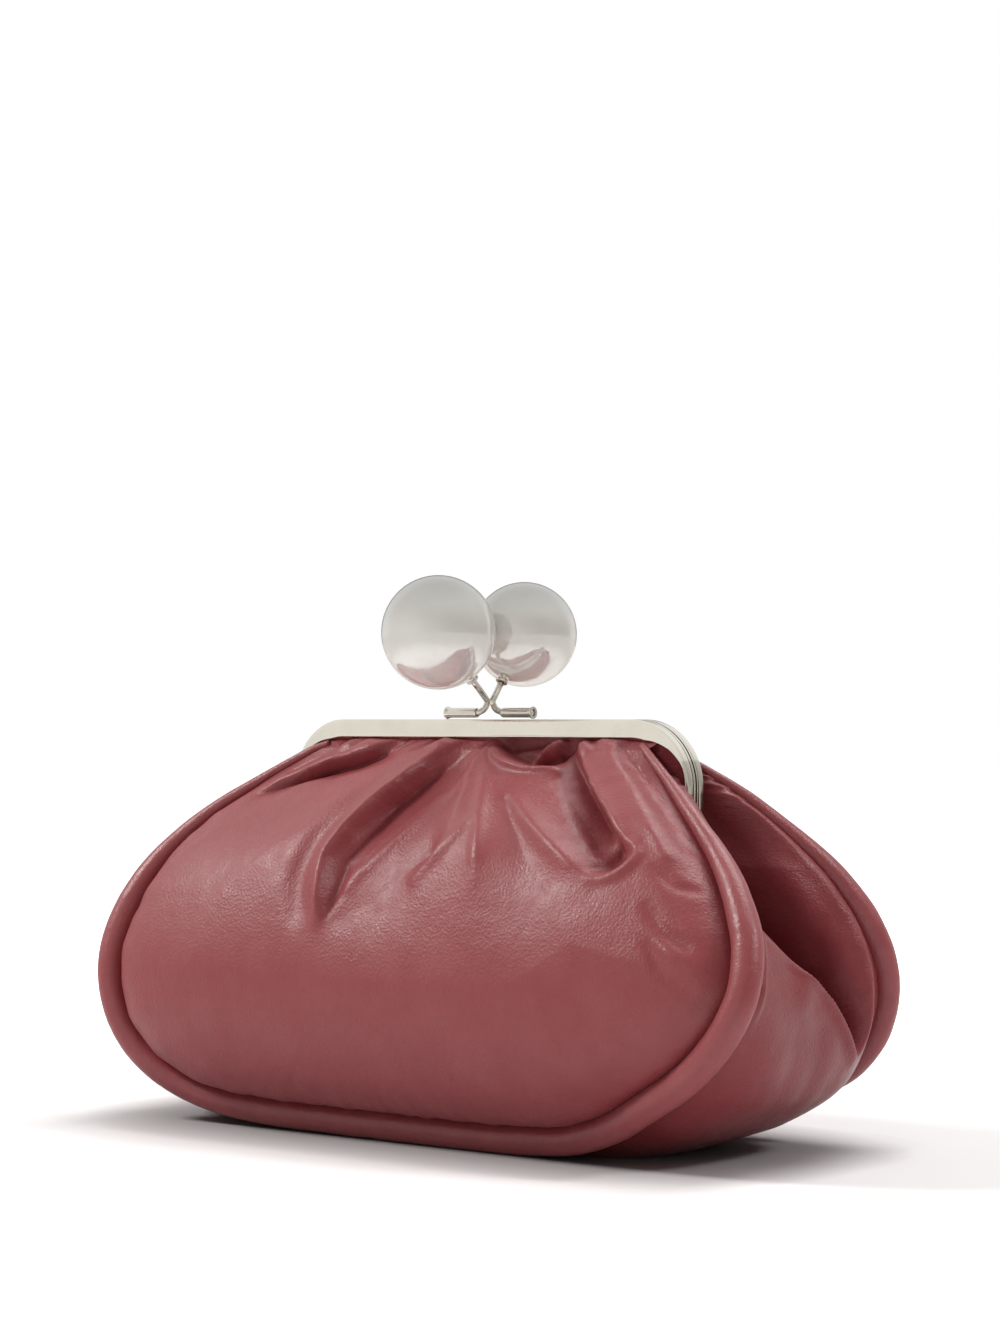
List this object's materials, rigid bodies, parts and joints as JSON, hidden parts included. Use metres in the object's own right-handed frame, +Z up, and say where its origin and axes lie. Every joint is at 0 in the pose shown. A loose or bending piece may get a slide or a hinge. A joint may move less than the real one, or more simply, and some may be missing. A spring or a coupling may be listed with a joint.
{
  "type": "kiss-lock clutch bag",
  "caption": "Soft leather clutch bag with fat piping, gathered into a hinged metal frame that closes with a kiss-lock clasp of two big balls.",
  "frame": {"origin": "the middle of the bag, on the surface that it stands on", "axes": "+X to the bag's right as seen from the front, along the frame; +Y to the rear; +Z up"},
  "size_m": [0.2678, 0.1236, 0.1871],
  "materials": {
    "leather": "smooth burgundy nappa, soft sheen",
    "piping_leather": "smooth burgundy nappa, soft sheen",
    "cord": "twisted cotton and paper cord",
    "lining_cloth": "matt twill",
    "board": "stiff base board",
    "nickel_frame": "pale nickel plate, satin polish",
    "nickel_fittings": "nickel plate, bright",
    "polished_ball": "mirror polish"
  },
  "bodies": {
    "pouch": {"front_panel": "leather", "rear_panel": "leather", "gusset_base": "leather", "gusset_left": "leather", "gusset_right": "leather", "front_piping": "piping_leather", "rear_piping": "piping_leather", "front_piping_core": "cord", "rear_piping_core": "cord", "lining_front": "lining_cloth", "lining_rear": "lining_cloth", "lining_gusset": "lining_cloth", "base_board": "board", "hinge_rivet_left": "nickel_fittings", "hinge_rivet_right": "nickel_fittings"},
    "front_frame": {"frame_front": "nickel_frame", "frame_filler_front": "cord", "clasp_rod_front": "nickel_fittings", "clasp_sleeve_front": "nickel_fittings", "ball_collar_front": "nickel_fittings", "clasp_ball_front": "polished_ball", "front_gather": "leather", "front_piping_end_left": "piping_leather", "front_piping_end_right": "piping_leather", "gusset_top_front_left": "leather", "gusset_top_front_right": "leather", "lining_front_top": "lining_cloth"},
    "rear_frame": {"frame_rear": "nickel_frame", "frame_filler_rear": "cord", "clasp_rod_rear": "nickel_fittings", "clasp_sleeve_rear": "nickel_fittings", "ball_collar_rear": "nickel_fittings", "clasp_ball_rear": "polished_ball", "rear_gather": "leather", "rear_piping_end_left": "piping_leather", "rear_piping_end_right": "piping_leather", "gusset_top_rear_left": "leather", "gusset_top_rear_right": "leather", "lining_rear_top": "lining_cloth"}
  },
  "joints": [
    {"name": "front_frame_hinge", "type": "hinge", "parent": "pouch", "child": "front_frame", "pos_m": [0, 0, 0.097], "axis": [1, 0, 0], "range_deg": [0, 45], "deforming": ["front_gather", "front_piping_end_left", "front_piping_end_right", "gusset_top_front_left", "gusset_top_front_right", "lining_front_top"]},
    {"name": "rear_frame_hinge", "type": "hinge", "parent": "pouch", "child": "rear_frame", "pos_m": [0, 0, 0.097], "axis": [1, 0, 0], "range_deg": [-45, 0], "deforming": ["rear_gather", "rear_piping_end_left", "rear_piping_end_right", "gusset_top_rear_left", "gusset_top_rear_right", "lining_rear_top"]}
  ],
  "couplings": [
    {"joint": "rear_frame_hinge", "follows": "front_frame_hinge", "ratio": -1}
  ]
}
